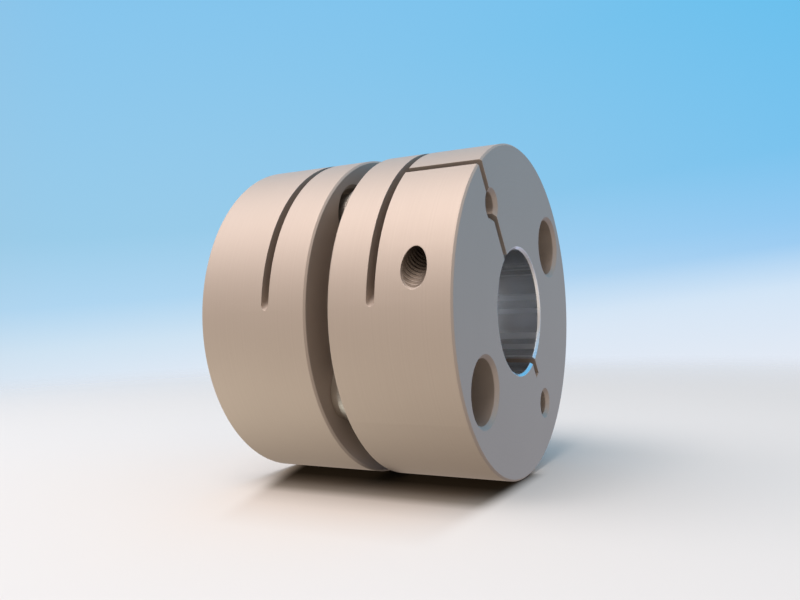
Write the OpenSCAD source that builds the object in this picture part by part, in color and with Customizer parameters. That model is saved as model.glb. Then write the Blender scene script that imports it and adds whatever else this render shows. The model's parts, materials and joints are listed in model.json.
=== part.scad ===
// Single-disc shaft coupling: two clamping hubs joined by a pack of thin steel leaves.
// It stands on the end face of its lower hub, with its axis along +Z and its origin in that face.
// Both hubs are the same part. The upper one is turned over and a quarter turn round, so that each
// hub's tapped bolt holes face the other hub's access holes.

/* [Hubs] */
// Outer diameter of a hub
outer_d = 56; // [54:1:64]
// Length of a hub along the axis
hub_l = 20.5; // [19:0.5:26]
// Space between the two hubs
hub_gap = 4; // [3.6:0.1:6]
// Diameter of the shaft bore
bore_d = 21; // [14:1:22]
// Distance of the disc bolts' axes from the rim
bolt_inset = 7.5; // [7.25:0.25:8.5]
// Diameter of the access holes, which the other hub's disc bolts face
access_d = 10.2; // [9.2:0.1:10.6]
// Chamfer on the rims of a hub
rim_chamfer = 0.3; // [0.2:0.1:1]
// Chamfer at both ends of the bore
bore_chamfer = 0.4; // [0.2:0.1:1]
// Chamfer at the mouths of the holes beside the bore
hole_chamfer = 0.6; // [0.2:0.1:0.8]

/* [Clamp] */
// Width of the ring that closes on the shaft
clamp_w = 12.3; // [11:0.1:14]
// Width of the slot that frees the ring from the flange
slot_w = 1.4; // [1:0.1:2]
// Depth to which the slot's floor cuts into the bore
slot_bite = 2.9; // [1:0.1:4]
// Radius of the slot's curved floor
slot_floor_r = 40.8; // [32:0.2:60]
// Width of the slit through the ring
slit_w = 1.5; // [1:0.1:2.5]
// Length of the slit past the far side of the bore
relief_l = 3.5; // [2:0.1:6]
// Distance of the clamp screw's axis from the rim
clamp_inset = 6.9; // [6.5:0.1:8]
// Distance of the clamp screw's head from the middle of the slit
clamp_seat = 6.5; // [5:0.1:7]
// Length of the clamp screw under its head
clamp_screw_l = 16; // [12:1:20]

/* [Screws] */
// Thread diameter of the disc bolts and the clamp screws
screw_d = 5; // [4:0.5:5.5]
// Pitch of the thread
thread_pitch = 0.8; // [0.5:0.1:1]
// Diameter of the socket head
head_d = 8.5; // [8:0.1:9]
// Height of the socket head
head_h = 5; // [4:0.5:6]
// Width of the hexagon socket across its flats
socket_w = 4; // [3:0.5:5]
// Depth of the hexagon socket
socket_depth = 2.5; // [1.5:0.1:3]
// Chamfer on the screw's head and tip
screw_chamfer = 0.4; // [0.2:0.1:0.8]

/* [Disc pack] */
// Number of leaves
leaf_count = 4; // [2:1:6]
// Thickness of a leaf
leaf_t = 0.25; // [0.1:0.05:0.3]
// Diameter of the opening in the middle of a leaf
leaf_bore_d = 24; // [22:0.5:27]
// Width of a leaf outside its collars, round each bolt
leaf_margin = 0.4; // [0:0.1:1]
// Depth of the waist in each side of a leaf
leaf_waist = 1.2; // [0.5:0.1:2]
// Outer diameter of the collars and washers
collar_d = 9.6; // [9:0.1:10.4]
// Thickness of the washer under a disc bolt's head
washer_t = 0.9; // [0.5:0.1:1]
// Chamfer on the collars and washers
collar_chamfer = 0.2; // [0.1:0.05:0.3]

/* [Clearances] */
// Gap round a screw in a plain hole
hole_clear = 0.15; // [0.1:0.05:0.3]
// Gap round the clamp screw's head
head_clear = 0.4; // [0.3:0.05:0.6]
// Gap between a thread and its tapped hole
thread_clear = 0.05; // [0.02:0.01:0.1]
// Space past a screw's tip
tip_clear = 0.3; // [0.1:0.1:1]

/* [Hidden] */
$fn = 96;
// Amount by which a cut runs past the face that it opens
over = 1;
total_l = 2 * hub_l + hub_gap;
outer_r = outer_d / 2;
bolt_r = outer_r - bolt_inset;
// Number of a hub's own disc bolts, and the angle of the first one, which stands on the slit
bolt_count = 2;
slit_angle = 90;
// The slot is cut halfway between the slit and the next access hole
slot_angle = slit_angle + 45;
slot_floor = bore_d / 2 - slot_bite;
slot_offset = slot_floor_r - slot_floor;
slit_depth = clamp_w + slot_w;
slit_end = bore_d / 2 + relief_l;
flange_t = hub_l - slit_depth;
clamp_y = outer_r - clamp_inset;
clamp_z = clamp_w / 2;
// A thread is drawn as a plain shank, and the pilot hole has the width of its tapping drill
clamp_tapped_l = clamp_screw_l - clamp_seat + tip_clear;
shank_d = screw_d - 2 * thread_clear;
pilot_d = screw_d - thread_pitch;
plain_hole_d = screw_d + 2 * hole_clear;
head_hole_d = head_d + 2 * head_clear;
pack_t = leaf_count * leaf_t;
collar_t = (hub_gap - pack_t) / 2;
// The disc bolt runs through washer, leaves and collar into its hub's flange
grip = washer_t + pack_t + collar_t;
disc_bolt_l = grip + flange_t - tip_clear;
// A leaf is a square frame with a round lobe at each bolt
lobe_r = collar_d / 2 + leaf_margin;
link_l = bolt_r * sqrt(2);
leaf_side = link_l / 2 + lobe_r;
waist_r = (link_l * link_l / 4 + leaf_waist * leaf_waist) / (2 * leaf_waist);
SIDES = ["lower", "upper"];
BOLT_PIECES = ["collar", "washer", "disc_bolt"];

// Places a piece of the lower hub as it is, or turns it over on to the upper hub
module on_hub(side) {
    if (side == "lower") children();
    else translate([0, 0, total_l]) rotate([0, 0, 90]) rotate([0, 180, 0]) children();
}

// Places a piece on the axis of one of the hub's own disc bolts
module at_bolt(i) {
    rotate([0, 0, slit_angle + (i - 1) * 360 / bolt_count]) translate([bolt_r, 0, 0]) children();
}

// Places a hole on the axis of one of the hub's access holes
module at_access(i) {
    rotate([0, 0, 180 / bolt_count]) at_bolt(i) children();
}

// Turns a piece that points along +Z to lie along the clamp screw, head towards -X
module along_clamp() {
    translate([0, clamp_y, clamp_z]) rotate([0, -90, 0]) children();
}

// Cutter for a hole right through a hub, chamfered at both faces
module through_hole(d, chamfer) {
    translate([0, 0, -over]) cylinder(d = d, h = hub_l + 2 * over);
    for (flip = [0, 1])
        translate([0, 0, flip * hub_l]) mirror([0, 0, flip])
            translate([0, 0, -chamfer]) cylinder(d1 = d + 4 * chamfer, d2 = d, h = 2 * chamfer);
}

// Flat ring with its outer edges chamfered
module ring(d, hole_d, t, chamfer) {
    rotate_extrude()
        polygon([
            [hole_d / 2, 0], [d / 2 - chamfer, 0], [d / 2, chamfer],
            [d / 2, t - chamfer], [d / 2 - chamfer, t], [hole_d / 2, t]
        ]);
}

// Socket head cap screw with the seat of its head at z = 0 and its tip downwards
module cap_screw(l) {
    difference() {
        rotate_extrude()
            polygon([
                [0, -l], [shank_d / 2 - screw_chamfer, -l], [shank_d / 2, screw_chamfer - l],
                [shank_d / 2, 0], [head_d / 2, 0], [head_d / 2, head_h - screw_chamfer],
                [head_d / 2 - screw_chamfer, head_h], [0, head_h]
            ]);
        translate([0, 0, head_h - socket_depth])
            cylinder(d = socket_w / cos(30), h = socket_depth + over, $fn = 6);
    }
}

// Turned blank of a hub, standing on its clamping end
module hub_blank() {
    rotate_extrude()
        polygon([
            [0, 0], [outer_r - rim_chamfer, 0], [outer_r, rim_chamfer],
            [outer_r, hub_l - rim_chamfer], [outer_r - rim_chamfer, hub_l], [0, hub_l]
        ]);
}

// Cutter for the slit, from the rim through the bore to its relief on the far side
module slit() {
    rotate([0, 0, slit_angle]) translate([-slit_end, -slit_w / 2, -over])
        cube([slit_end + outer_r + over, slit_w, slit_depth + over]);
}

// Cutter for the slot behind the ring, with a round-bottomed floor that bulges towards the slot's middle
module slot() {
    rotate([0, 0, slot_angle]) translate([-slot_offset, 0, clamp_w + slot_w / 2])
        rotate_extrude() translate([slot_floor_r + slot_w / 2, 0]) {
            circle(d = slot_w);
            translate([0, -slot_w / 2]) square([outer_d, slot_w]);
        }
}

// Cutter for the clamp screw: head pocket and plain hole on one side of the slit, and on the other a hole
// that is tapped as far as the screw's tip and then runs on to the rim as wide as the tapping drill
module clamp_screw_hole() {
    along_clamp() {
        translate([0, 0, clamp_seat]) cylinder(d = head_hole_d, h = outer_r);
        cylinder(d = plain_hole_d, h = clamp_seat + over);
        translate([0, 0, -clamp_tapped_l]) cylinder(d = screw_d, h = clamp_tapped_l);
        translate([0, 0, -outer_r]) cylinder(d = pilot_d, h = outer_r);
    }
}

// Cutter for one of the hub's own bolt holes: pilot hole right through, tapped in the flange
module bolt_hole() {
    through_hole(pilot_d, hole_chamfer);
    translate([0, 0, slit_depth]) cylinder(d = screw_d, h = flange_t + over);
}

module hub() {
    color("#c6b6a6") difference() {
        hub_blank();
        through_hole(bore_d, bore_chamfer);
        slit();
        slot();
        clamp_screw_hole();
        for (i = [1:bolt_count]) {
            at_bolt(i) bolt_hole();
            at_access(i) through_hole(access_d, hole_chamfer);
        }
    }
}

module clamp_screw() {
    color("#3a3632") along_clamp() translate([0, 0, clamp_seat]) cap_screw(clamp_screw_l);
}

module leaf_outline() {
    difference() {
        union() {
            for (turn = [45, 135]) rotate(turn) square([link_l, 2 * leaf_side], center = true);
            for (turn = [0:90:270]) rotate(turn) translate([bolt_r, 0]) circle(r = lobe_r);
        }
        circle(d = leaf_bore_d);
        for (turn = [0:90:270]) {
            rotate(turn) translate([bolt_r, 0]) circle(d = plain_hole_d);
            rotate(turn + 45) translate([leaf_side + waist_r - leaf_waist, 0]) circle(r = waist_r);
        }
    }
}

module disc_leaf(i) {
    color("#a9a8a4") translate([0, 0, hub_l + collar_t + (i - 1) * leaf_t])
        linear_extrude(leaf_t) leaf_outline();
}

// Seated on its own hub, it carries the pack
module collar() {
    color("#bdbab3") translate([0, 0, hub_l]) ring(collar_d, plain_hole_d, collar_t, collar_chamfer);
}

// Lies on the far side of the pack, under the bolt's head
module washer() {
    color("#bdbab3") translate([0, 0, hub_l + collar_t + pack_t])
        ring(collar_d, plain_hole_d, washer_t, collar_chamfer);
}

// Its head stands in an access hole of the other hub
module disc_bolt() {
    color("#b5b1a9") translate([0, 0, hub_l + grip]) cap_screw(disc_bolt_l);
}

for (side = SIDES) {
    on_hub(side) hub();
    on_hub(side) clamp_screw();
    for (i = [1:bolt_count]) {
        on_hub(side) at_bolt(i) collar();
        on_hub(side) at_bolt(i) washer();
        on_hub(side) at_bolt(i) disc_bolt();
    }
}
for (i = [1:leaf_count]) {
    disc_leaf(i);
}
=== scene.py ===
"""Dresses a single-disc shaft coupling: two anodised clamping hubs, a leaf pack and their screws."""

import json
import logging
import math
from dataclasses import dataclass, field
from enum import Enum
from functools import partial
from typing import Callable

import bmesh
import bpy
from mathutils import Matrix, Vector

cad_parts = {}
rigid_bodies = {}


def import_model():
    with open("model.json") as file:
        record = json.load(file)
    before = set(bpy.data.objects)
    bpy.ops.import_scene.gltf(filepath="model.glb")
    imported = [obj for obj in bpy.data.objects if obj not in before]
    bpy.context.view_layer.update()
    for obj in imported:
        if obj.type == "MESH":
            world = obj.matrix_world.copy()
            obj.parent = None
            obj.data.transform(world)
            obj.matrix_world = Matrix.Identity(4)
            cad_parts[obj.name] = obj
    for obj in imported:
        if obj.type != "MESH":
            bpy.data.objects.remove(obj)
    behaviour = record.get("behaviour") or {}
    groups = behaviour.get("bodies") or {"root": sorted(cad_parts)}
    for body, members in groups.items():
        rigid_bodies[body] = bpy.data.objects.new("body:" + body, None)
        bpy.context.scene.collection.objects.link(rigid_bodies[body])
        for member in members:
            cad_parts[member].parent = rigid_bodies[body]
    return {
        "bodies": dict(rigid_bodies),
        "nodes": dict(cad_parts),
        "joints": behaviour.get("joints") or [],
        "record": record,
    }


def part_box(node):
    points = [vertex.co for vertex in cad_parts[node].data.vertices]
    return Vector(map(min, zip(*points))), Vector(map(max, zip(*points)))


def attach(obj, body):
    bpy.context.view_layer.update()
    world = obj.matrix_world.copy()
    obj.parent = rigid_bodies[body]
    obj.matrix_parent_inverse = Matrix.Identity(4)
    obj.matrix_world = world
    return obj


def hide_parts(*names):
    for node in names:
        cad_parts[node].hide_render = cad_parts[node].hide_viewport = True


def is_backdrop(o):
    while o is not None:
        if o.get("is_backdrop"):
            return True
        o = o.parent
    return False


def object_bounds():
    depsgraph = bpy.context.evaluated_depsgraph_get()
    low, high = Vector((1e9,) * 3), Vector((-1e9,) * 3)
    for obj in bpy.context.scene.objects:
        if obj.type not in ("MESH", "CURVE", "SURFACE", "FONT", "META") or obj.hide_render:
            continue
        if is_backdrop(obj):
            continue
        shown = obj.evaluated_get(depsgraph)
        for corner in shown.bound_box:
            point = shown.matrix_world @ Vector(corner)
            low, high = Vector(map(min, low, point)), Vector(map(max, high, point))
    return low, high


log = logging.getLogger("disc_coupling")
MM = 0.001
TAU = 2 * math.pi
# A hexagon's turn from one side to the next
SIXTH = TAU / 6
BODY = "root"
X_AXIS, Z_AXIS = Vector((1, 0, 0)), Vector((0, 0, 1))
# Points closer than this are one
MERGE = 0.0005 * MM
# Edges that turn more than this stay sharp
SHARP = math.radians(28)
# Radius and height of a ring's point, by its angle in radians
RingShape = Callable[[float], tuple[float, float]]
# Values with their colours, from the lowest value upwards
Tints = tuple[tuple[float, str], ...]


def linear(hex_code: str) -> tuple[float, float, float, float]:
    """Turns an sRGB hex colour, such as "c9b8a8", to linear red, green and blue with an alpha of one."""
    parts = [int(hex_code[i : i + 2], 16) / 255 for i in (0, 2, 4)]
    return (*[p / 12.92 if p <= 0.04045 else ((p + 0.055) / 1.055) ** 2.4 for p in parts], 1.0)


def heading(degrees: float) -> Vector:
    """Returns the level direction at an angle round the axis, from +X towards +Y."""
    return Vector((math.cos(math.radians(degrees)), math.sin(math.radians(degrees)), 0.0))


def add_node(
    tree: bpy.types.NodeTree, kind: str, inputs: dict[str | int, object] | None = None, **settings: object
) -> bpy.types.Node:
    """Adds a node with its settings, values and links.

    Args:
        tree: Node tree that the node goes into.
        kind: Blender's name for the kind of node.
        inputs: Values or output sockets, by input name or number.
        settings: Properties of the node itself.

    Returns:
        The new node.
    """
    node = tree.nodes.new(kind)
    for name, value in settings.items():
        setattr(node, name, value)
    for key, value in (inputs or {}).items():
        if isinstance(value, bpy.types.NodeSocket):
            tree.links.new(value, node.inputs[key])
        else:
            node.inputs[key].default_value = value
    return node


def bare_material(name: str) -> bpy.types.Material:
    """Makes a material with an empty node tree.

    Args:
        name: Name of the material.

    Returns:
        The material.
    """
    material = bpy.data.materials.new(name)
    material.use_nodes = True
    material.node_tree.nodes.clear()
    return material


class Side(Enum):
    """Which hub a piece belongs to. The upper hub is the lower one turned over and a quarter turn round."""

    LOWER = "lower"
    UPPER = "upper"

    def place(self, total_l: float) -> Matrix:
        """Finds the move from the lower hub's place to this hub's.

        Args:
            total_l: Length of the coupling in metres.

        Returns:
            A rigid move in the part's frame.
        """
        if self is Side.LOWER:
            return Matrix.Identity(4)
        turn = Matrix.Rotation(math.radians(90), 4, "Z") @ Matrix.Rotation(math.radians(180), 4, "Y")
        return Matrix.Translation((0, 0, total_l)) @ turn


@dataclass(frozen=True)
class Finish:
    """What all finishes have in common: each makes one metal material."""

    name: str

    def material(self) -> bpy.types.Material:
        """Makes the material.

        Returns:
            The material, painted by the finish.
        """
        material = bare_material(self.name)
        tree = material.node_tree
        shader = add_node(tree, "ShaderNodeBsdfPrincipled", self.paint(tree) | {"Metallic": 1.0})
        add_node(tree, "ShaderNodeOutputMaterial", {"Surface": shader.outputs[0]})
        return material

    def paint(self, tree: bpy.types.NodeTree) -> dict[str | int, object]:
        """Adds a finish's own nodes and returns values or sockets for the shader's inputs."""
        raise NotImplementedError


@dataclass(frozen=True)
class AnodisedAluminium(Finish):
    """Turned aluminium, blasted and clear anodised, with a bore that is finished bare afterwards.

    The oxide gives a matt champagne grey with a fine grain. Facing and turning leave faint rings that
    follow the lathe. The bare bore and its chamfers are bright, and mirror what stands around them.
    """

    name: str = "anodised_aluminium"
    oxide: str = "c2b6ac"
    oxide_worn: str = "beb2a8"
    bare: str = "f2f3f5"
    rough: float = 0.68
    rough_spread: float = 0.04
    bare_rough: float = 0.24
    bare_rough_spread: float = 0.12
    # A reamed bore's lines run round it, so its reflections stretch along it
    bare_stretch: float = 0.6
    # Bands along the bore, each reflecting a little differently,
    # and the part of the noise that they spread over
    band_mm: float = 1.6
    band_from: float = 0.3
    band_to: float = 0.7
    # Blasting grit is finer than this, which is as coarse as it needs to show
    grit_mm: float = 0.16
    # Feed of the lathe tool, drawn about twice as coarse as a finishing cut to show
    feed_mm: float = 0.3
    # Patches in which the oxide took a little differently
    cloud_mm: float = 14.0
    # Octaves of the noise, and of the grit, which is fine already
    detail: float = 3.0
    grit_detail: float = 2.0
    edge_mm: float = 0.12
    edge_samples: int = 4
    relief_mm: float = 0.02
    relief: float = 0.1
    # Where the grit's height is level, which leaves the bare bore smooth
    smooth_height: float = 0.5
    # Just outside the bore's chamfers
    bare_r_mm: float = 10.92

    def paint(self, tree: bpy.types.NodeTree) -> dict[str | int, object]:
        """Adds the oxide's grain and rings, and the bare bore's bands.

        Args:
            tree: The material's node tree.

        Returns:
            Values or sockets for the shader's inputs.
        """
        place = add_node(tree, "ShaderNodeTexCoord").outputs["Object"]
        normal = add_node(tree, "ShaderNodeNewGeometry").outputs["True Normal"]
        flat = add_node(
            tree, "ShaderNodeVectorMath", {0: place, 1: (1, 1, 0)}, operation="MULTIPLY"
        ).outputs[0]
        radius = add_node(tree, "ShaderNodeVectorMath", {0: flat}, operation="LENGTH").outputs["Value"]
        along = add_node(tree, "ShaderNodeSeparateXYZ", {0: place}).outputs["Z"]
        normal_z = add_node(tree, "ShaderNodeSeparateXYZ", {0: normal}).outputs["Z"]
        facing = add_node(tree, "ShaderNodeMath", {0: normal_z}, operation="ABSOLUTE").outputs[0]
        # Tool marks run round the axis: by radius on the end faces, by height on the walls
        feed = add_node(tree, "ShaderNodeMix", {"Factor": facing, "A": along, "B": radius}).outputs[0]
        rings = add_node(
            tree, "ShaderNodeTexNoise",
            {"W": feed, "Scale": 1 / (self.feed_mm * MM), "Detail": self.detail},
            noise_dimensions="1D",
        ).outputs["Fac"]
        grit, cloud, bands = (
            add_node(
                tree, "ShaderNodeTexNoise", {"Vector": where, "Scale": 1 / (size_mm * MM), "Detail": detail}
            ).outputs["Fac"]
            for where, size_mm, detail in (
                (place, self.grit_mm, self.grit_detail),
                (place, self.cloud_mm, self.detail),
                (flat, self.band_mm, self.detail),
            )
        )
        bare = add_node(
            tree, "ShaderNodeMath", {0: radius, 1: self.bare_r_mm * MM}, operation="LESS_THAN"
        ).outputs[0]
        oxide = add_node(
            tree, "ShaderNodeMix", {"Factor": cloud, "A": linear(self.oxide), "B": linear(self.oxide_worn)},
            data_type="RGBA",
        ).outputs["Result"]
        colour = add_node(
            tree, "ShaderNodeMix", {"Factor": bare, "A": oxide, "B": linear(self.bare)}, data_type="RGBA"
        ).outputs["Result"]
        dull = add_node(
            tree, "ShaderNodeMapRange",
            {
                "Value": rings,
                "To Min": self.rough - self.rough_spread, "To Max": self.rough + self.rough_spread,
            },
        ).outputs[0]
        bright = add_node(
            tree, "ShaderNodeMapRange",
            {
                "Value": bands, "From Min": self.band_from, "From Max": self.band_to,
                "To Min": self.bare_rough - self.bare_rough_spread,
                "To Max": self.bare_rough + self.bare_rough_spread,
            },
        ).outputs[0]
        rough = add_node(tree, "ShaderNodeMix", {"Factor": bare, "A": dull, "B": bright}).outputs[0]
        stretch = add_node(
            tree, "ShaderNodeMath", {0: bare, 1: self.bare_stretch}, operation="MULTIPLY"
        ).outputs[0]
        edge = add_node(
            tree, "ShaderNodeBevel", {"Radius": self.edge_mm * MM}, samples=self.edge_samples
        ).outputs[0]
        height = add_node(
            tree, "ShaderNodeMix", {"Factor": bare, "A": grit, "B": self.smooth_height}
        ).outputs[0]
        grain = add_node(
            tree, "ShaderNodeBump",
            {"Height": height, "Strength": self.relief, "Distance": self.relief_mm * MM, "Normal": edge},
        ).outputs[0]
        tangent = add_node(tree, "ShaderNodeTangent", direction_type="RADIAL", axis="Z").outputs[0]
        return {
            "Base Color": colour, "Roughness": rough, "Normal": grain,
            "Anisotropic": stretch, "Tangent": tangent,
        }


@dataclass(frozen=True)
class ScrewSteel(Finish):
    """Cold-formed steel screw with a thin coat, which is a little thinner in blotches.

    Black oxide is near black with a soft brownish sheen. Zinc plating is a pale, slightly blue grey.
    """

    coat: str
    thin: str
    rough: float = 0.34
    rough_spread: float = 0.1
    blotch_mm: float = 1.6
    detail: float = 5.0

    def paint(self, tree: bpy.types.NodeTree) -> dict[str | int, object]:
        """Adds the coat's blotches, which are smoother where it is thin.

        Args:
            tree: The material's node tree.

        Returns:
            Values or sockets for the shader's inputs.
        """
        place = add_node(tree, "ShaderNodeTexCoord").outputs["Object"]
        blotch = add_node(
            tree, "ShaderNodeTexNoise",
            {"Vector": place, "Scale": 1 / (self.blotch_mm * MM), "Detail": self.detail},
        ).outputs["Fac"]
        colour = add_node(
            tree, "ShaderNodeMix", {"Factor": blotch, "A": linear(self.coat), "B": linear(self.thin)},
            data_type="RGBA",
        ).outputs["Result"]
        rough = add_node(
            tree, "ShaderNodeMapRange",
            {
                "Value": blotch,
                "To Min": self.rough + self.rough_spread, "To Max": self.rough - self.rough_spread,
            },
        ).outputs[0]
        return {"Base Color": colour, "Roughness": rough}


@dataclass(frozen=True)
class LinedSteel(Finish):
    """Bare steel with the fine lines of its making: straight on rolled leaves, round on turned collars."""

    colour: str
    line: str
    turned: bool
    # The bolt circle's radius, on which the turned collars stand at the four quarters
    bolt_r_mm: float = 20.5
    rough: float = 0.36
    rough_spread: float = 0.1
    line_mm: float = 0.2
    detail: float = 3.0

    def paint(self, tree: bpy.types.NodeTree) -> dict[str | int, object]:
        """Adds the lines, across the leaves or round each collar.

        Args:
            tree: The material's node tree.

        Returns:
            Values or sockets for the shader's inputs.
        """
        place = add_node(tree, "ShaderNodeTexCoord").outputs["Object"]
        across = add_node(tree, "ShaderNodeSeparateXYZ", {0: place}).outputs["Y"]
        if self.turned:
            fold = add_node(tree, "ShaderNodeVectorMath", {0: place}, operation="ABSOLUTE").outputs[0]
            axes = add_node(tree, "ShaderNodeSeparateXYZ", {0: fold})
            # Folding the quarters together puts every collar's axis on one point
            far, aside = (
                add_node(
                    tree, "ShaderNodeMath", {0: axes.outputs["X"], 1: axes.outputs["Y"]}, operation=pick
                ).outputs[0]
                for pick in ("MAXIMUM", "MINIMUM")
            )
            folded = add_node(tree, "ShaderNodeCombineXYZ", {"X": far, "Y": aside}).outputs[0]
            across = add_node(
                tree, "ShaderNodeVectorMath", {0: folded, 1: (self.bolt_r_mm * MM, 0, 0)},
                operation="DISTANCE",
            ).outputs["Value"]
        lines = add_node(
            tree, "ShaderNodeTexNoise",
            {"W": across, "Scale": 1 / (self.line_mm * MM), "Detail": self.detail},
            noise_dimensions="1D",
        ).outputs["Fac"]
        colour = add_node(
            tree, "ShaderNodeMix", {"Factor": lines, "A": linear(self.colour), "B": linear(self.line)},
            data_type="RGBA",
        ).outputs["Result"]
        rough = add_node(
            tree, "ShaderNodeMapRange",
            {
                "Value": lines,
                "To Min": self.rough - self.rough_spread, "To Max": self.rough + self.rough_spread,
            },
        ).outputs[0]
        return {"Base Color": colour, "Roughness": rough}


def level_point(radius: float, height: float, angle: float) -> tuple[float, float]:
    """Returns the radius and height of a round, level ring, which are the same at any angle."""
    return radius, height


def level(radius: float, height: float) -> RingShape:
    """Returns the shape of a round, level ring."""
    return partial(level_point, radius, height)


@dataclass
class RingStack:
    """A closed mesh made of rings of points, each ring joined to the next by quads."""

    count: int
    points: list[Vector] = field(default_factory=list)
    faces: list[tuple[int, ...]] = field(default_factory=list)

    def ring(self, shape: RingShape) -> None:
        """Adds a ring and joins it to the last one.

        Args:
            shape: Radius and height at each angle.
        """
        start = len(self.points)
        for i in range(self.count):
            angle = TAU * i / self.count
            radius, height = shape(angle)
            self.points.append(Vector((radius * math.cos(angle), radius * math.sin(angle), height)))
        if start:
            low = start - self.count
            for i in range(self.count):
                j = (i + 1) % self.count
                self.faces.append((low + i, low + j, start + j, start + i))

    def close(self, low: float, high: float) -> None:
        """Closes the first and the last ring, each to a point on the axis.

        Args:
            low: Height of the first ring's point in metres.
            high: Height of the last ring's point in metres.
        """
        last, tip = len(self.points) - self.count, len(self.points)
        self.points += [Vector((0, 0, low)), Vector((0, 0, high))]
        for i in range(self.count):
            j = (i + 1) % self.count
            self.faces += [(j, i, tip), (last + i, last + j, tip + 1)]

    def mesh(self, name: str, place: Matrix) -> bpy.types.Mesh:
        """Makes a clean mesh of the rings.

        Args:
            name: Name of the mesh.
            place: Move from the stack's own axis to the part's frame.

        Returns:
            The mesh, in metres in the part's frame.
        """
        mesh = bpy.data.meshes.new(name)
        mesh.from_pydata([place @ p for p in self.points], [], self.faces)
        work = bmesh.new()
        work.from_mesh(mesh)
        bmesh.ops.remove_doubles(work, verts=work.verts, dist=MERGE)
        bmesh.ops.dissolve_degenerate(work, edges=work.edges, dist=MERGE)
        bmesh.ops.recalc_face_normals(work, faces=work.faces)
        work.to_mesh(mesh)
        work.free()
        return mesh


def show(mesh: bpy.types.Mesh, name: str, material: bpy.types.Material) -> bpy.types.Object:
    """Puts a mesh in the scene as a piece of the coupling.

    Args:
        mesh: Mesh in the part's frame.
        name: Name of the piece.
        material: Its finish.

    Returns:
        The piece, riding on the part's one body.
    """
    piece = bpy.data.objects.new(name, mesh)
    bpy.context.scene.collection.objects.link(piece)
    mesh.materials.append(material)
    mesh.shade_smooth()
    mesh.set_sharp_from_angle(angle=SHARP)
    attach(piece, BODY)
    return piece


def coat(node: bpy.types.Object, material: bpy.types.Material) -> bpy.types.Object:
    """Gives a CAD solid its finish.

    Args:
        node: The solid's object in the frame.
        material: Its finish.

    Returns:
        The same object.
    """
    node.data.materials.clear()
    node.data.materials.append(material)
    return node


@dataclass(frozen=True)
class Thread:
    """A coarse metric thread, wound round the +Z axis."""

    # Widths of the flats at the root and the crest, as shares of the pitch
    root: float
    crest: float
    depth: float
    pitch: float = 0.8 * MM

    def corners(self) -> list[tuple[float, float]]:
        """Lists the profile's corners as shares of a pitch, with their lifts from root (0) to crest (1)."""
        flank = (1 - self.root - self.crest) / 2
        return [(0.0, 0.0), (self.root, 0.0), (self.root + flank, 1.0), (self.root + flank + self.crest, 1.0)]

    def rise(self, turns: float, angle: float) -> float:
        """Returns how far a corner has climbed after some turns, at an angle round the thread."""
        return self.pitch * (turns + angle / TAU)


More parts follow.
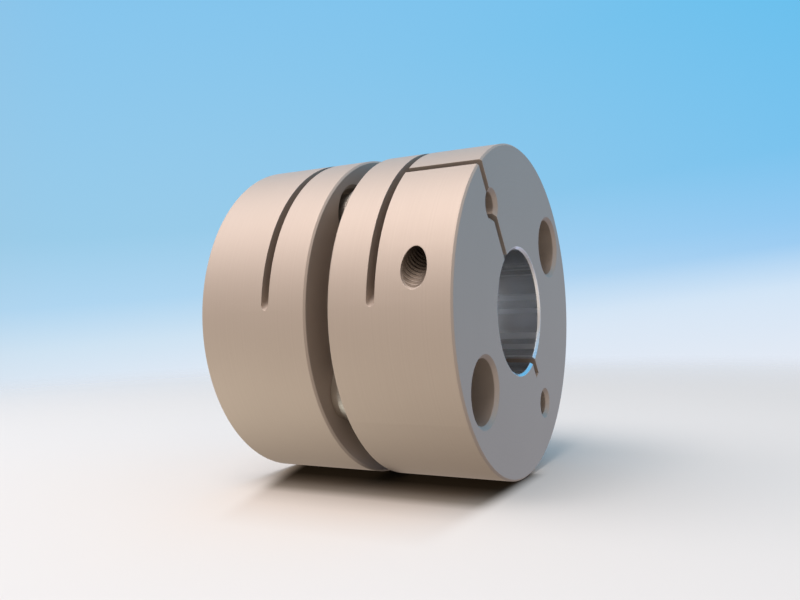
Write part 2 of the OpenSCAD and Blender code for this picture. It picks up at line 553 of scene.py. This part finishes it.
@dataclass
class CapScrew:
    """Socket head cap screw that stands for a plain CAD screw, with its thread, knurl and socket cut in."""

    node: str
    finish: bpy.types.Material
    slot: str
    axis: Vector
    thread: Thread = Thread(root=0.25, crest=0.125, depth=0.46 * MM)
    head_r: float = 4.25 * MM
    head_h: float = 5.0 * MM
    shank_r: float = 2.45 * MM
    # Turned-down start of the thread, and the neck under the head where it runs out
    tip_edge: float = 0.2 * MM
    neck: float = 0.8 * MM
    seat_edge: float = 0.2 * MM
    top_edge: float = 0.4 * MM
    # Plain rim over the knurl, and the length over which the knurl runs out
    rim: float = 0.7 * MM
    run_out: float = 0.2 * MM
    socket_w: float = 4.0 * MM
    socket_depth: float = 2.5 * MM
    socket_lead: float = 0.1 * MM
    drill_depth: float = 0.7 * MM
    knurls: int = 48
    knurl_depth: float = 0.13 * MM
    count: int = 144

    def build(self) -> bpy.types.Object:
        """Builds the screw in its CAD node's place.

        Returns:
            The piece that replaces the node.
        """
        low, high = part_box(self.node)
        length = max(high - low) - self.head_h
        seat = (low + high) / 2 + self.axis * ((length - self.head_h) / 2)
        place = Matrix.Translation(seat) @ self.axis.to_track_quat("Z", "Y").to_matrix().to_4x4()
        stack = RingStack(self.count)
        self.wind(stack, length)
        self.form_head(stack)
        stack.close(-length, self.head_h - self.socket_depth - self.drill_depth)
        piece = show(stack.mesh(self.node, place), f"{self.node}_threaded", self.finish)
        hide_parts(self.node)
        return piece

    def thread_point(self, turns: float, lift: float, length: float, angle: float) -> tuple[float, float]:
        """Finds a point of the thread, with a chamfered start and a neck under the head.

        Args:
            turns: Turns that the thread's corner has been wound.
            lift: Lift of the corner from root to crest.
            length: Length under the head in metres.
            angle: Angle round the screw in radians.

        Returns:
            Radius and height in metres.
        """
        root_r = self.shank_r - self.thread.depth
        rise = self.thread.rise(turns, angle)
        start_r = root_r - self.tip_edge + max(rise, 0.0)
        on_neck = rise > length - self.neck
        radius = root_r if on_neck else min(root_r + self.thread.depth * lift, start_r)
        return radius, min(max(rise - length, -length), -self.neck / 2)

    def wind(self, stack: RingStack, length: float) -> None:
        """Winds the thread from the tip to the head.

        Args:
            stack: Rings of the screw so far.
            length: Length under the head in metres.
        """
        root_r = self.shank_r - self.thread.depth
        stack.ring(level(root_r - self.tip_edge, -length))
        for turn in range(-1, int(length / self.thread.pitch) + 2):
            for share, lift in self.thread.corners():
                stack.ring(partial(self.thread_point, turn + share, lift, length))
        stack.ring(level(root_r, 0.0))

    def knurl_point(self, height: float, angle: float) -> tuple[float, float]:
        """Returns the radius and height of the knurled side, at a height over the seat and an angle."""
        wave = abs((angle * self.knurls / TAU) % 1.0 - 0.5) * 2
        return self.head_r - self.knurl_depth * (1 - wave), height

    def socket_point(self, height: float, lead_r: float, angle: float) -> tuple[float, float]:
        """Returns the radius and height of the hexagon's edge, which sinks inside a lead-in's radius."""
        radius = self.socket_w / 2 / math.cos(angle % SIXTH - SIXTH / 2)
        return radius, height - max(lead_r - radius, 0.0)

    def form_head(self, stack: RingStack) -> None:
        """Adds the head with its knurl and hexagon socket.

        Args:
            stack: Rings of the screw so far.
        """
        plain = self.head_r - self.knurl_depth
        mouth = self.socket_w / 2 / math.cos(SIXTH / 2) + self.socket_lead
        top = self.head_h
        floor = top - self.socket_depth
        for shape in (
            level(plain - self.seat_edge, 0.0),
            level(plain, self.seat_edge),
            partial(self.knurl_point, self.seat_edge + self.run_out),
            partial(self.knurl_point, top - self.rim - self.run_out),
            level(plain, top - self.rim),
            level(plain, top - self.top_edge),
            level(plain - self.top_edge, top),
            level(mouth, top),
            partial(self.socket_point, top, mouth),
            partial(self.socket_point, floor, 0.0),
            level(self.socket_w / 2, floor),
        ):
            stack.ring(shape)


@dataclass
class Hub:
    """A clamping hub: the CAD solid with its finish, and the thread in its clamp screw's tapped hole."""

    side: Side
    finish: bpy.types.Material
    # Material of the thread lining, darker than the hub: painted shade in the tapped hole
    thread_painted_shade: bpy.types.Material
    total_l: float
    slot: str = "anodised_aluminium"
    # The crests stand out of the drilled wall, and the roots lie just under it
    thread: Thread = Thread(root=0.125, crest=0.25, depth=0.16 * MM)
    drilled_r: float = 2.1 * MM
    root_sunk: float = 0.01 * MM
    back_sunk: float = 0.1 * MM
    # The thread starts past the screw's tip and ends a little short of the flank
    past_tip: float = 0.6 * MM
    lead: float = 0.35 * MM
    count: int = 96
    flank_count: int = 360

    def dress(self, nodes: dict[str, bpy.types.Object]) -> bpy.types.Object:
        """Gives the hub's solid, among the frame's objects, its finish, and returns it."""
        return coat(nodes[f"{self.side.value}_hub"], self.finish)

    def thread_point(self, turns: float, lift: float, length: float, angle: float) -> tuple[float, float]:
        """Finds a point of the thread in the hole.

        Args:
            turns: Turns that the thread's corner has been wound.
            lift: Lift of the corner from root to crest.
            length: Length of the thread in metres.
            angle: Angle round the hole in radians.

        Returns:
            Radius and height in metres.
        """
        radius = self.drilled_r + self.root_sunk - self.thread.depth * lift
        return radius, min(max(self.thread.rise(turns, angle), 0.0), length)

    def tap(self) -> bpy.types.Object:
        """Lines the rest of the tapped hole with its thread, from the screw's tip to the hub's flank.

        Returns:
            The thread's piece.
        """
        low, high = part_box("lower_clamp_screw")
        middle = (low + high) / 2
        outer_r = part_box("lower_hub")[1].x
        start = high.x + self.past_tip
        length = outer_r - start
        stack = RingStack(self.count)
        back = self.drilled_r + self.back_sunk
        stack.ring(level(back, length))
        stack.ring(level(back, 0.0))
        for turn in range(-1, int(length / self.thread.pitch) + 1):
            for share, lift in self.thread.corners():
                stack.ring(partial(self.thread_point, turn + share, lift, length))
        # The last ring meets the first, so that the liner is closed
        stack.ring(level(back, length))
        turn_over = X_AXIS.to_track_quat("Z", "Y").to_matrix().to_4x4()
        name = f"{self.side.value}_clamp_thread"
        mesh = stack.mesh(name, Matrix.Translation((start, middle.y, middle.z)) @ turn_over)
        self.trim(mesh, outer_r - self.lead)
        mesh.transform(self.side.place(self.total_l))
        # The thread lining's darker colour is painted shade in the hole
        return show(mesh, name, self.thread_painted_shade)

    def trim(self, mesh: bpy.types.Mesh, radius: float) -> None:
        """Cuts a mesh off at a radius round the shaft axis.

        Args:
            mesh: Mesh in the lower hub's place, changed in place.
            radius: Radius to keep, in metres.
        """
        cutter_mesh = bpy.data.meshes.new("flank_cutter")
        work = bmesh.new()
        bmesh.ops.create_cone(
            work, cap_ends=True, segments=self.flank_count,
            radius1=radius, radius2=radius, depth=2 * self.total_l,
        )
        work.to_mesh(cutter_mesh)
        work.free()
        cutter = bpy.data.objects.new("flank_cutter", cutter_mesh)
        blank = bpy.data.objects.new("thread_blank", mesh.copy())
        for thing in (cutter, blank):
            bpy.context.scene.collection.objects.link(thing)
        cut = blank.modifiers.new("flank", "BOOLEAN")
        cut.operation, cut.solver, cut.object = "INTERSECT", "EXACT", cutter
        bpy.context.view_layer.update()
        result = blank.evaluated_get(bpy.context.evaluated_depsgraph_get()).to_mesh()
        work = bmesh.new()
        work.from_mesh(result)
        work.to_mesh(mesh)
        work.free()
        for thing in (cutter, blank):
            bpy.data.objects.remove(thing)


@dataclass
class DiscPack:
    """The leaves, collars and washers between the hubs."""

    leaf_finish: bpy.types.Material
    collar_finish: bpy.types.Material

    def dress(self, nodes: dict[str, bpy.types.Object]) -> list[bpy.types.Object]:
        """Gives the leaves, collars and washers their finishes.

        Args:
            nodes: The frame's objects by node name.

        Returns:
            The objects that were dressed.
        """
        finishes = {"leaf": self.leaf_finish, "collar": self.collar_finish, "washer": self.collar_finish}
        return [
            coat(node, finish)
            for name, node in nodes.items()
            for kind, finish in finishes.items()
            if kind in name
        ]


@dataclass(frozen=True)
class Lamp:
    """A soft round lamp that points at the coupling.

    Its direction is given along the photograph's upright, towards the camera and along the coupling's axis.
    """

    name: str
    up: float
    near: float
    axis: float
    distance: float
    span: float
    power: float
    tint: str


@dataclass
class Studio:
    """Camera, lamps, floor and backdrop.

    The coupling stands on its end, and the photograph shows it lying on its flank, so the camera looks up
    at the end face from under the floor, turned until the axis is level. The floor shows only from above.
    A bench along the flank, square to the camera's own upright, takes the shadow in that view, and a contact
    shadow is painted into its colour as well.
    """

    # Direction from the axis to the camera, and the camera's upright, as headings round the axis
    camera_heading: float = 35.5
    upright_heading: float = 125.5
    camera_off_axis: float = 124.49 * MM
    camera_height: float = -43.08 * MM
    aim: Vector = field(default_factory=lambda: Vector((-1.409, 2.329, 22.776)) * MM)
    roll: float = 1.655
    focal_px: float = 772.58
    image_w_px: float = 800.0
    sensor_mm: float = 36.0
    clip_start: float = 1 * MM
    floor_reach: float = 0.4
    bench_reach: float = 0.36
    # The floor and the bench start to fade at this share of their reach
    fade_share: float = 1 / 3
    stage_gap: float = 0.05 * MM
    board_tint: str = "dddad6"
    # Painted contact shadow in the bench's colour, by distance from the line that the coupling lies on;
    # it also stands in for the bounced light that the coupling keeps off there
    painted_contact_shadow_tints: Tints = (
        (0.0, "302b24"), (9 * MM, "37322a"), (14 * MM, "645d55"), (19 * MM, "8b857d"), (23 * MM, "bfb9b3"),
        (30 * MM, "d3cdc7"), (42 * MM, "dddad6"),
    )
    # How far the painted shadow starts before the lower end face, and how softly its ends fade
    contact_lead: float = 2.8 * MM
    contact_blur: float = 4 * MM
    # How far its far end draws in with distance from the line
    contact_skew: float = 0.33
    # It is this many times narrower behind the coupling, where the board lights the bench
    contact_narrowing: float = 5.0
    # Painted shade: the card's dark brown stands in for the bench in shade under the gap, as the gap and the
    # flank see it
    card_tint: str = "2a241e"
    card_reach: float = 13 * MM
    # How far the card lies from the hubs, under the bench
    card_drop: float = 0.1 * MM
    # Blue board behind the coupling, over the shaded part of the bench.
    # Values are rises, from straight down (-1) to straight up (1)
    backdrop_tints: Tints = (
        (-0.95, "5c5041"), (-0.7, "7d6e5b"), (-0.25, "a19384"), (-0.1, "eaecf4"), (0.0, "e0e9f4"),
        (0.05, "cfe3f3"), (0.1, "b0d6f1"), (0.18, "9accea"), (0.42, "88c6ed"), (0.7, "6fb8e4"),
    )
    # The board's foot isn't quite level: it rises towards the coupling's lower hub
    backdrop_lean: float = 0.1
    # It also comes forward on the lower hub's side
    backdrop_wrap: float = 0.47
    # How far ahead of the camera the room gives way to the board
    behind_from: float = -0.2
    behind_to: float = 0.5
    # The same board beside the coupling, which the end face mirrors
    side_tints: Tints = (
        (-0.9, "6e665e"), (-0.55, "b0adb4"), (-0.25, "c6d3f6"), (-0.1, "e9ecf3"), (0.02, "cfe4f8"),
        (0.07, "8ac5f2"), (0.18, "69bff0"), (0.36, "53bcee"), (0.55, "6abcee"), (0.85, "b4d6f0"),
    )
    # How far towards the lower hub's side it takes over from the board behind
    beside_from: float = -0.8
    beside_to: float = 0.45
    # Lit bench before the coupling, a darker room over it and a bright ceiling
    room_tints: Tints = (
        (-1.0, "8a7d6f"), (-0.7, "e6dacf"), (-0.1, "dbd1c7"), (0.08, "b9aea5"), (0.4, "c6bbb2"),
        (0.8, "efe6df"),
    )
    lamps: tuple[Lamp, ...] = (
        Lamp("key", up=0.87, near=0.47, axis=0.05, distance=0.60, span=0.42, power=1.95, tint="fff3ee"),
        Lamp("ceiling", up=0.76, near=0.32, axis=0.52, distance=0.45, span=0.40, power=0.72, tint="fbf8ff"),
        Lamp("window", up=-0.55, near=0.30, axis=0.75, distance=0.32, span=0.30, power=0.28, tint="f8f8ea"),
    )

    def build(self, low: Vector, high: Vector) -> None:
        """Sets the whole stage.

        Args:
            low: Lowest corner of the coupling.
            high: Highest corner of the coupling.
        """
        self.set_camera()
        self.set_world()
        self.set_lamps((low + high) / 2)
        self.set_planes(high)
        self.set_card(high)

    def eye(self) -> Vector:
        """Returns the camera's place."""
        return heading(self.camera_heading) * self.camera_off_axis + Z_AXIS * self.camera_height

    def set_camera(self) -> None:
        """Places the camera as the photograph was taken."""
        data = bpy.data.cameras.new("photo_camera")
        data.sensor_width = self.sensor_mm
        data.lens = self.focal_px / self.image_w_px * self.sensor_mm
        data.clip_start = self.clip_start
        camera = bpy.data.objects.new("photo_camera", data)
        bpy.context.scene.collection.objects.link(camera)
        ahead = (self.aim - self.eye()).normalized()
        upright = heading(self.upright_heading)
        up = (upright - ahead * upright.dot(ahead)).normalized()
        up = Matrix.Rotation(math.radians(self.roll), 3, ahead) @ up
        frame = Matrix((ahead.cross(up), up, -ahead)).transposed().to_4x4()
        camera.matrix_world = Matrix.Translation(self.eye()) @ frame
        bpy.context.scene.camera = camera

    def set_world(self) -> None:
        """Surrounds the coupling with a blue board behind it and a warm white room before it."""
        scene = bpy.context.scene
        scene.view_settings.view_transform = "Standard"
        world = bpy.data.worlds.new("studio")
        scene.world = world
        world.use_nodes = True
        tree = world.node_tree
        tree.nodes.clear()
        way = add_node(tree, "ShaderNodeTexCoord").outputs["Generated"]
        upright = heading(self.upright_heading)
        leaning = (upright + Z_AXIS * self.backdrop_lean).normalized()
        ahead = -self.eye().normalized() - Z_AXIS * self.backdrop_wrap
        rise, leaning_rise, depth, aside = (
            add_node(
                tree, "ShaderNodeVectorMath", {0: way, 1: axis}, operation="DOT_PRODUCT"
            ).outputs["Value"]
            for axis in (upright, leaning, ahead, -Z_AXIS)
        )
        behind, beside = (
            add_node(
                tree, "ShaderNodeMapRange", {"Value": value, "From Min": start, "From Max": end},
                interpolation_type="SMOOTHSTEP",
            ).outputs[0]
            for value, start, end in (
                (depth, self.behind_from, self.behind_to), (aside, self.beside_from, self.beside_to)
            )
        )
        backdrop = self.tint_along(tree, leaning_rise, self.backdrop_tints)
        side = self.tint_along(tree, leaning_rise, self.side_tints)
        room = self.tint_along(tree, rise, self.room_tints)
        board = add_node(
            tree, "ShaderNodeMix", {"Factor": beside, "A": backdrop, "B": side}, data_type="RGBA"
        ).outputs["Result"]
        colour = add_node(
            tree, "ShaderNodeMix", {"Factor": behind, "A": room, "B": board}, data_type="RGBA"
        ).outputs["Result"]
        light = add_node(tree, "ShaderNodeBackground", {"Color": colour})
        add_node(tree, "ShaderNodeOutputWorld", {"Surface": light.outputs[0]})

    def tint_along(
        self, tree: bpy.types.NodeTree, value: bpy.types.NodeSocket, tints: Tints
    ) -> bpy.types.NodeSocket:
        """Shades from one colour to the next along a value.

        Args:
            tree: Node tree that the colours go into.
            value: The value's socket.
            tints: Values and their colours, from the lowest upwards.

        Returns:
            The colour's socket.
        """
        first, last = tints[0][0], tints[-1][0]
        share = add_node(
            tree, "ShaderNodeMapRange", {"Value": value, "From Min": first, "From Max": last}
        ).outputs[0]
        node = add_node(tree, "ShaderNodeValToRGB", {"Fac": share})
        stops = node.color_ramp.elements
        while len(stops) < len(tints):
            stops.new(1.0)
        for stop, (at, tint) in zip(stops, tints):
            stop.position, stop.color = (at - first) / (last - first), linear(tint)
        return node.outputs["Color"]

    def set_lamps(self, centre: Vector) -> None:
        """Hangs the soft lamps.

        Args:
            centre: Middle of the coupling.
        """
        up, near = heading(self.upright_heading), heading(self.camera_heading)
        for lamp in self.lamps:
            data = bpy.data.lights.new(lamp.name, "AREA")
            data.shape, data.size, data.energy = "DISK", lamp.span, lamp.power
            data.color = linear(lamp.tint)[:3]
            thing = bpy.data.objects.new(lamp.name, data)
            bpy.context.scene.collection.objects.link(thing)
            way = up * lamp.up + near * lamp.near + Z_AXIS * lamp.axis
            thing.location = centre + way.normalized() * lamp.distance
            thing.rotation_mode = "QUATERNION"
            thing.rotation_quaternion = (centre - thing.location).to_track_quat("-Z", "Y")

    def paint_contact_shadow(self, tree: bpy.types.NodeTree, total_l: float) -> bpy.types.NodeSocket:
        """Paints a shadow into the bench's colour beside the line that the coupling lies on.

        Args:
            tree: The bench's node tree.
            total_l: Length of the coupling in metres.

        Returns:
            The bench's colour socket.
        """
        place = add_node(tree, "ShaderNodeNewGeometry").outputs["Position"]
        before, along = (
            add_node(
                tree, "ShaderNodeVectorMath", {0: place, 1: axis}, operation="DOT_PRODUCT"
            ).outputs["Value"]
            for axis in (heading(self.camera_heading), Z_AXIS)
        )
        behind = add_node(
            tree, "ShaderNodeMath", {0: before, 1: -self.contact_narrowing}, operation="MULTIPLY"
        ).outputs[0]
        off = add_node(tree, "ShaderNodeMath", {0: before, 1: behind}, operation="MAXIMUM").outputs[0]
        skewed = add_node(
            tree, "ShaderNodeMath", {0: off, 1: self.contact_skew, 2: along}, operation="MULTIPLY_ADD"
        ).outputs[0]
        blur = self.contact_blur
        low_end, high_end = (
            add_node(
                tree, "ShaderNodeMapRange", {"Value": value, "From Min": start, "From Max": end},
                interpolation_type="SMOOTHSTEP",
            ).outputs[0]
            for value, start, end in (
                (along, -self.contact_lead, blur - self.contact_lead),
                (skewed, total_l + blur / 2, total_l - blur / 2),
            )
        )
        inside = add_node(tree, "ShaderNodeMath", {0: low_end, 1: high_end}, operation="MULTIPLY").outputs[0]
        shade = self.tint_along(tree, off, self.painted_contact_shadow_tints)
        return add_node(
            tree, "ShaderNodeMix", {"Factor": inside, "A": linear(self.board_tint), "B": shade},
            data_type="RGBA",
        ).outputs["Result"]

    def board(self, name: str, reach: float, shaded_l: float) -> bpy.types.Material:
        """Makes a pale painted board that shows only from its front and fades out towards its rim.

        Args:
            name: Name of the material.
            reach: Distance from the board's middle at which it is gone, in metres.
            shaded_l: Length of the coupling that lies on the board, along which a contact shadow is painted
                into it, or zero.

        Returns:
            The board's material.
        """
        material = bare_material(name)
        tree = material.node_tree
        place = add_node(tree, "ShaderNodeTexCoord").outputs["Object"]
        distance = add_node(tree, "ShaderNodeVectorMath", {0: place}, operation="LENGTH").outputs["Value"]
        fade = add_node(
            tree, "ShaderNodeMapRange",
            {"Value": distance, "From Min": reach * self.fade_share, "From Max": reach},
            interpolation_type="SMOOTHSTEP",
        ).outputs[0]
        back = add_node(tree, "ShaderNodeNewGeometry").outputs["Backfacing"]
        gone = add_node(tree, "ShaderNodeMath", {0: fade, 1: back}, operation="MAXIMUM").outputs[0]
        # The bench's colour holds a painted contact shadow; the floor's is plain
        colour = self.paint_contact_shadow(tree, shaded_l) if shaded_l else linear(self.board_tint)
        board = add_node(tree, "ShaderNodeBsdfDiffuse", {"Color": colour})
        clear = add_node(tree, "ShaderNodeBsdfTransparent")
        mix = add_node(tree, "ShaderNodeMixShader", {"Fac": gone, 1: board.outputs[0], 2: clear.outputs[0]})
        add_node(tree, "ShaderNodeOutputMaterial", {"Surface": mix.outputs[0]})
        return material

    def lay(
        self, name: str, spot: Vector, facing: Vector, size: tuple[float, float], material: bpy.types.Material
    ) -> bpy.types.Object:
        """Lays a flat board on the stage.

        Args:
            name: Name of the board.
            spot: Its middle.
            facing: Direction of its front.
            size: Half its width and half its length, in metres.
            material: Its material.

        Returns:
            The board.
        """
        mesh = bpy.data.meshes.new(name)
        work = bmesh.new()
        bmesh.ops.create_grid(work, x_segments=1, y_segments=1, size=1.0)
        bmesh.ops.scale(work, vec=(*size, 1.0), verts=work.verts)
        work.to_mesh(mesh)
        work.free()
        mesh.materials.append(material)
        board = bpy.data.objects.new(name, mesh)
        bpy.context.scene.collection.objects.link(board)
        board.location = spot
        board.rotation_mode = "QUATERNION"
        board.rotation_quaternion = facing.to_track_quat("Z", "Y")
        board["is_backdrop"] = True
        return board

    def set_planes(self, high: Vector) -> None:
        """Lays the floor under the coupling and the bench beside its flank, which only the camera sees.

        Args:
            high: Highest corner of the coupling.
        """
        upright = heading(self.upright_heading)
        foot = Z_AXIS * (high.z / 2) - upright * (high.x + self.stage_gap)
        spots = (
            ("floor", -Z_AXIS * self.stage_gap, Z_AXIS, self.floor_reach, 0.0),
            ("bench", foot, upright, self.bench_reach, high.z),
        )
        for name, spot, facing, reach, shaded_l in spots:
            material = self.board(f"painted_{name}", reach, shaded_l)
            plane = self.lay(name, spot, facing, (reach, reach), material)
            plane.visible_shadow = plane.visible_diffuse = plane.visible_glossy = False

    def set_card(self, high: Vector) -> None:
        """Holds a black card under the gap, out of the camera's sight, to keep light out as the bench does.

        Args:
            high: Highest corner of the coupling.
        """
        gap_low, gap_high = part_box("lower_hub")[1].z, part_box("upper_hub")[0].z
        upright = heading(self.upright_heading)
        spot = Z_AXIS * ((gap_low + gap_high) / 2) - upright * (high.x + self.card_drop)
        material = bare_material("black_card")
        black = add_node(material.node_tree, "ShaderNodeBsdfDiffuse", {"Color": linear(self.card_tint)})
        add_node(material.node_tree, "ShaderNodeOutputMaterial", {"Surface": black.outputs[0]})
        size = (self.card_reach, (gap_high - gap_low) / 2)
        self.lay("gap_card", spot, upright, size, material).visible_camera = False


def main() -> None:
    """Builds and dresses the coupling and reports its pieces."""
    logging.basicConfig(level=logging.INFO)
    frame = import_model()
    cad_low, cad_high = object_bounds()
    nodes = frame["nodes"]
    total_l = cad_high.z - cad_low.z
    aluminium = AnodisedAluminium().material()
    # Painted shade: the tapped holes' thread lining gets a darker oxide colour that stands in for the shade
    # deep in the holes
    painted_shade_thread = AnodisedAluminium("painted_shade_thread_aluminium", oxide="93877c", oxide_worn="7a6e64").material()
    black = ScrewSteel("black_oxide_steel", coat="3b332d", thin="5c5148").material()
    plated = ScrewSteel("zinc_plated_steel", coat="c3c1bd", thin="b3aea6").material()
    rolled = LinedSteel("rolled_spring_steel", colour="b7b4ae", line="a09c95", turned=False).material()
    turned = LinedSteel("turned_steel", colour="c4c0b8", line="aca79f", turned=True).material()
    pieces = DiscPack(rolled, turned).dress(nodes)
    for side in Side:
        hub = Hub(side, aluminium, painted_shade_thread, total_l)
        pieces += [hub.dress(nodes), hub.tap()]
        place = side.place(total_l).to_3x3()
        pieces.append(CapScrew(f"{side.value}_clamp_screw", black, "black_steel", place @ -X_AXIS).build())
        for i in (1, 2):
            bolt = CapScrew(f"{side.value}_disc_bolt_{i}", plated, "plated_steel", place @ Z_AXIS)
            pieces.append(bolt.build())
    for piece in pieces:
        log.info("%s: %s", piece.name, piece.data.materials[0].name)
    Studio().build(cad_low, cad_high)


if __name__ == "__main__":
    main()
